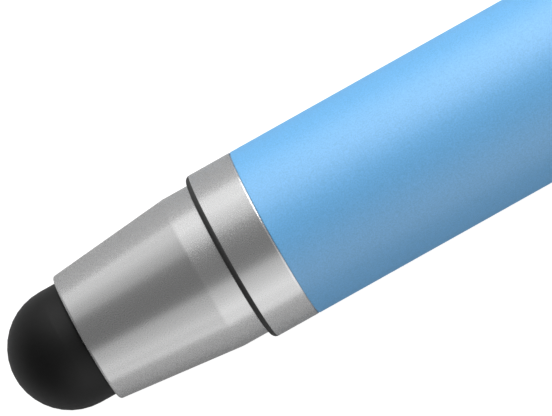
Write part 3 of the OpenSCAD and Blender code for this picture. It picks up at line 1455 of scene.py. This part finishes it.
    def bent(self, u: float, lift: float) -> Point:
        """Where a point of the blank lies once the strip is bent.

        Args:
            u: place along the blank.
            lift: distance from the strip's middle layer, towards its outer face.

        Returns:
            Its station along the pen and its height from the pen's axis.
        """
        middle_r = self.bend_r + self.thickness / 2
        bend_x = self.frame.ring_x - self.bend_r
        if u <= self.bend_u():
            return (bend_x + middle_r + lift, u)
        turn = min(u - self.bend_u(), self.bend_length()) / middle_r
        normal = Vector((math.cos(turn), math.sin(turn)))
        along = Vector((-normal.y, normal.x))
        point = Vector((bend_x, self.bend_u())) + normal * middle_r
        straight = min(u, self.flare_u()) - self.arm_u()
        if straight > 0:
            point += along * straight
        if u > self.flare_u():
            turn = (u - self.flare_u()) / self.flare_r
            point += self.flare_r * (along * math.sin(turn) + normal * (1 - math.cos(turn)))
            normal = normal * math.cos(turn) - along * math.sin(turn)
        return tuple(point + normal * lift)

    def place(self, u: float, v: float, drop: float, upper: bool) -> Vector:
        """Place on the pen of a point of the blank.

        Args:
            u: place along the blank.
            v: place across the blank.
            drop: how far the point lies below its flat face.
            upper: whether it is on the upper face.

        Returns:
            The point.
        """
        half = self.thickness / 2 - drop
        lift = (half if upper else -half) - self.pressed(u, v, upper)
        x, height = self.bent(u, lift)
        outward = self.frame.clip_side
        across = Vector((0.0, outward.z, -outward.y))
        return Vector((x, 0.0, 0.0)) + outward * height + across * v


class Blank:
    """A flat sheet outline with its faces, which gets its thickness and its bends afterwards."""

    def __init__(self) -> None:
        """Starts an empty blank."""
        self.points: list[tuple[float, float, float]] = []
        self.faces: list[tuple[int, ...]] = []

    def flat(self, u: float, v: float, drop: float) -> int:
        """Adds a point.

        Args:
            u: place along the blank.
            v: place across the blank.
            drop: how far it lies below the flat face.

        Returns:
            The point's number.
        """
        self.points.append((u, v, drop))
        return len(self.points) - 1

    def polar(self, radius: float, angle: float, drop: float) -> int:
        """Adds a point at a radius and an angle from the u axis, and returns its number."""
        return self.flat(radius * math.cos(angle), radius * math.sin(angle), drop)

    def turned(self, index: int, middle: int, angle: float) -> int:
        """Adds a copy of a point, turned round another one.

        Args:
            index: number of the point to copy.
            middle: number of the point that it turns round.
            angle: how far it turns.

        Returns:
            The new point's number.
        """
        u, v, drop = self.points[index]
        u0, v0, _ = self.points[middle]
        radius = math.hypot(u - u0, v - v0)
        return self.flat(u0 + radius * math.sin(angle), v0 + radius * math.cos(angle), drop)

    def skin(self, rows: list[list[int]]) -> None:
        """Joins rows of points by faces.

        Args:
            rows: numbers of the points in each row; all rows are as long.
        """
        for near, far in zip(rows, rows[1:]):
            for index in range(len(near) - 1):
                loop = (near[index], near[index + 1], far[index + 1], far[index])
                self.faces.append(tuple(dict.fromkeys(loop)))

    def rim(self) -> list[tuple[int, int]]:
        """Edges that belong to one face only.

        Returns:
            The two points of each edge.
        """
        used: dict[frozenset[int], int] = {}
        edges: dict[frozenset[int], tuple[int, int]] = {}
        for face in self.faces:
            for start, end in zip(face, face[1:] + face[:1]):
                key = frozenset((start, end))
                used[key] = used.get(key, 0) + 1
                edges[key] = (start, end)
        return [edges[key] for key, count in used.items() if count == 1]

    def solid(self, place: Callable[[float, float, float, bool], Vector]) -> bmesh.types.BMesh:
        """Makes the sheet solid, with each point where a function puts it.

        Args:
            place: gives a point's place from its u, v, drop and side.

        Returns:
            The closed mesh.
        """
        build = bmesh.new()
        upper = [build.verts.new(place(*point, True)) for point in self.points]
        lower = [build.verts.new(place(*point, False)) for point in self.points]
        for face in self.faces:
            build.faces.new([upper[index] for index in face])
            build.faces.new([lower[index] for index in reversed(face)])
        for start, end in self.rim():
            build.faces.new((upper[start], upper[end], lower[end], lower[start]))
        return build


def placed(place: Vector, right: Vector, up: Vector, back: Vector) -> Matrix:
    """Placement of a lamp or a camera, which look away from their back.

    Args:
        place: where it stands.
        right: direction to its right.
        up: direction to its top.
        back: direction to its back.

    Returns:
        The matrix that puts it there.
    """
    return Matrix.Translation(place) @ Matrix((right, up, back)).transposed().to_4x4()


@dataclass(frozen=True)
class Lamp:
    """A rectangular soft box.

    Attributes:
        name: its name.
        around: angle of its middle about the pen's axis, from overhead towards -Y.
        along: station of its middle.
        size: its length along the pen and its width across it.
        radiance: how bright its face is; 1 reads as white.
        reach: distance of its middle from the axis, which it faces square on.
    """

    name: str
    around: float
    along: float
    size: tuple[float, float]
    radiance: float
    reach: float = 0.30

    def add(self) -> None:
        """Adds the lamp, hidden from the camera so that it never blocks a view."""
        light = bpy.data.lights.new(self.name, "AREA")
        light.shape = "RECTANGLE"
        light.size, light.size_y = self.size
        light.energy = self.radiance * math.pi * self.size[0] * self.size[1]
        lamp = bpy.data.objects.new(self.name, light)
        bpy.context.scene.collection.objects.link(lamp)
        back = Vector((0.0, -math.sin(self.around), math.cos(self.around)))
        across = Vector((0.0, back.z, -back.y))
        along = across.cross(back)
        place = Vector((self.along, 0.0, 0.0)) + back * self.reach
        lamp.matrix_world = placed(place, along, across, back)
        lamp.visible_camera = False
        LOG.info("%s: lamp of %.0f by %.0f mm", self.name, self.size[0] / MM, self.size[1] / MM)


@dataclass
class Studio:
    """Plain pale floor, soft boxes, world and camera.

    Attributes:
        floor_z: height of the floor.
        floor_size: width of the floor.
        floor_glow: brightness of the floor to the camera, before the lamps' light.
        floor_shade: share of light that the floor throws back to the camera.
        floor_bounce: share of light that it throws back to everything else.
        floor_gloss: brightness of the floor in reflections, before the lamps' light.
        ceiling: brightness of the dark ceiling.
        walls: brightness of the pale walls.
        ceiling_lean: how far the ceiling's middle leans from overhead towards the nib's side.
        wall_end: cosine of the angle from the ceiling's middle at which the walls begin to darken.
        ceiling_start: cosine of the angle at which the dark ceiling is reached.
        lens: focal length of the camera, in millimetres.
        sensor: width of its sensor, in millimetres.
        tilt: how far it leans towards the end cap.
        roll: how far the picture is turned.
        near_share: nearest depth that the camera sees, as a share of its distance.
        far_share: farthest depth that it sees, as a share of its distance.
        view_width: width of the picture at the pen's axis.
        view_along: station of the picture's middle.
        view_across: distance of the picture's middle from the axis.
    """

    floor_z: float
    floor_size: float = 6.0
    floor_glow: float = 0.93
    floor_shade: float = 0.3
    floor_bounce: float = 0.45
    floor_gloss: float = 0.05
    ceiling: float = 0.16
    walls: float = 1.0
    ceiling_lean: float = math.radians(45.0)
    wall_end: float = 0.0
    ceiling_start: float = 0.75
    lens: float = 800.0
    sensor: float = 36.0
    tilt: float = math.radians(3.3)
    roll: float = math.radians(29.27)
    near_share: float = 0.1
    far_share: float = 20.0
    view_width: float = 27.04 * MM
    view_along: float = 15.26 * MM
    view_across: float = 1.018 * MM

    def build(self) -> None:
        """Builds the floor, the lamps, the world and the camera."""
        self.floor()
        for lamp in self.lamps():
            lamp.add()
        self.world()
        self.camera()
        bpy.context.scene.view_settings.view_transform = "Standard"

    def lamps(self) -> tuple[Lamp, ...]:
        """The soft boxes: a bright one towards the cap on the left, and a weak strip on each side.

        Returns:
            The lamps.
        """
        return (
            Lamp(
                name="key_box", around=math.radians(-70.0), along=0.20,
                size=(0.20, 0.50), radiance=6.2),
            Lamp(
                name="left_strip", around=math.radians(-53.0), along=0.0,
                size=(0.36, 0.20), radiance=0.22),
            Lamp(
                name="right_strip", around=math.radians(47.0), along=0.0,
                size=(0.36, 0.24), radiance=0.34))

    @staticmethod
    def glow(
            tree: bpy.types.NodeTree, camera: float, gloss: float, fill: float) -> bpy.types.NodeSocket:
        """Adds nodes that give a brightness for each kind of ray.

        Args:
            tree: node tree of a floor or of the world.
            camera: brightness that the camera and a see-through piece see.
            gloss: brightness that a reflection sees.
            fill: brightness that any other ray sees.

        Returns:
            The brightness.
        """
        path = tree.nodes.new("ShaderNodeLightPath")
        seen = tree.nodes.new("ShaderNodeMath")
        seen.operation = "MAXIMUM"
        tree.links.new(path.outputs["Is Camera Ray"], seen.inputs[0])
        tree.links.new(path.outputs["Is Transmission Ray"], seen.inputs[1])
        value = None
        for share, brightness in ((path.outputs["Is Glossy Ray"], gloss), (seen.outputs[0], camera)):
            blend = tree.nodes.new("ShaderNodeMix")
            blend.data_type = "FLOAT"
            blend.inputs["A"].default_value = fill
            blend.inputs["B"].default_value = brightness
            tree.links.new(share, blend.inputs["Factor"])
            if value is not None:
                tree.links.new(value, blend.inputs["A"])
            value = blend.outputs["Result"]
        return value

    def floor(self) -> None:
        """Builds the floor, which glows pale to the camera and keeps the pen's soft shadow."""
        half = self.floor_size / 2
        mesh = bpy.data.meshes.new("floor")
        corners = [(-half, -half), (half, -half), (half, half), (-half, half)]
        mesh.from_pydata([(x, y, self.floor_z) for x, y in corners], [], [(0, 1, 2, 3)])
        floor = bpy.data.objects.new("floor", mesh)
        bpy.context.scene.collection.objects.link(floor)
        material = bpy.data.materials.new("floor_paper")
        material.use_nodes = True
        tree = material.node_tree
        tree.nodes.clear()
        paper = tree.nodes.new("ShaderNodeBsdfDiffuse")
        shade = self.glow(tree, self.floor_shade, self.floor_bounce, self.floor_bounce)
        tree.links.new(shade, paper.inputs["Color"])
        light = tree.nodes.new("ShaderNodeEmission")
        glow = self.glow(tree, self.floor_glow, self.floor_gloss, 0.0)
        tree.links.new(glow, light.inputs["Strength"])
        total = tree.nodes.new("ShaderNodeAddShader")
        output = tree.nodes.new("ShaderNodeOutputMaterial")
        tree.links.new(paper.outputs["BSDF"], total.inputs[0])
        tree.links.new(light.outputs["Emission"], total.inputs[1])
        tree.links.new(total.outputs["Shader"], output.inputs["Surface"])
        mesh.materials.append(material)
        floor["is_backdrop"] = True

    def world(self) -> None:
        """Builds the world: white to the camera, and pale walls and a dark ceiling to all else."""
        world = bpy.data.worlds.new("studio")
        bpy.context.scene.world = world
        world.use_nodes = True
        tree = world.node_tree
        tree.nodes.clear()
        where = tree.nodes.new("ShaderNodeTexCoord")
        height = tree.nodes.new("ShaderNodeVectorMath")
        height.operation = "DOT_PRODUCT"
        ceiling_way = (-math.sin(self.ceiling_lean), 0.0, math.cos(self.ceiling_lean))
        height.inputs[1].default_value = ceiling_way
        tree.links.new(where.outputs["Generated"], height.inputs[0])
        room = tree.nodes.new("ShaderNodeMapRange")
        room.interpolation_type = "SMOOTHSTEP"
        spans = (
            ("From Min", self.wall_end),
            ("From Max", self.ceiling_start),
            ("To Min", self.walls),
            ("To Max", self.ceiling))
        for name, value in spans:
            room.inputs[name].default_value = value
        tree.links.new(height.outputs["Value"], room.inputs["Value"])
        blend = tree.nodes.new("ShaderNodeMix")
        blend.data_type = "FLOAT"
        blend.inputs["B"].default_value = 1.0
        tree.links.new(room.outputs["Result"], blend.inputs["A"])
        tree.links.new(self.glow(tree, 1.0, 0.0, 0.0), blend.inputs["Factor"])
        background = tree.nodes.new("ShaderNodeBackground")
        background.inputs["Color"].default_value = (1.0, 1.0, 1.0, 1.0)
        output = tree.nodes.new("ShaderNodeOutputWorld")
        tree.links.new(blend.outputs["Result"], background.inputs["Strength"])
        tree.links.new(background.outputs["Background"], output.inputs["Surface"])

    def camera(self) -> None:
        """Sets the camera over the pen's nose, as in the photograph."""
        data = bpy.data.cameras.new("camera")
        data.lens, data.sensor_width = self.lens, self.sensor
        camera = bpy.data.objects.new("camera", data)
        bpy.context.scene.collection.objects.link(camera)
        bpy.context.scene.camera = camera
        back = Vector((math.sin(self.tilt), 0.0, math.cos(self.tilt)))
        along = Vector((math.cos(self.tilt), 0.0, -math.sin(self.tilt)))
        across = Vector((0.0, 1.0, 0.0))
        right = along * math.cos(self.roll) - across * math.sin(self.roll)
        up = along * math.sin(self.roll) + across * math.cos(self.roll)
        distance = self.view_width * self.lens / self.sensor
        data.clip_start, data.clip_end = distance * self.near_share, distance * self.far_share
        place = Vector((self.view_along, self.view_across, 0.0)) + back * distance
        camera.matrix_world = placed(place, right, up, back)


def corners(box: tuple[Vector, Vector]) -> list[list[float]]:
    """Corners of a box as plain lists.

    Args:
        box: lowest and highest corner.

    Returns:
        The two corners.
    """
    return [[float(value) for value in corner] for corner in box]


def main() -> None:
    """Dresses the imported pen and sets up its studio."""
    logging.basicConfig(level=logging.INFO, format="%(name)s: %(message)s")
    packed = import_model()
    cad_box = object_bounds()
    frame = PenFrame.read(packed["joints"])
    Studio(floor_z=cad_box[0].z).build()
    for assembly in (NoseAssembly, FrontCollar, Barrel, RearAssembly, Clip):
        assembly(frame).build()


if __name__ == "__main__":
    main()
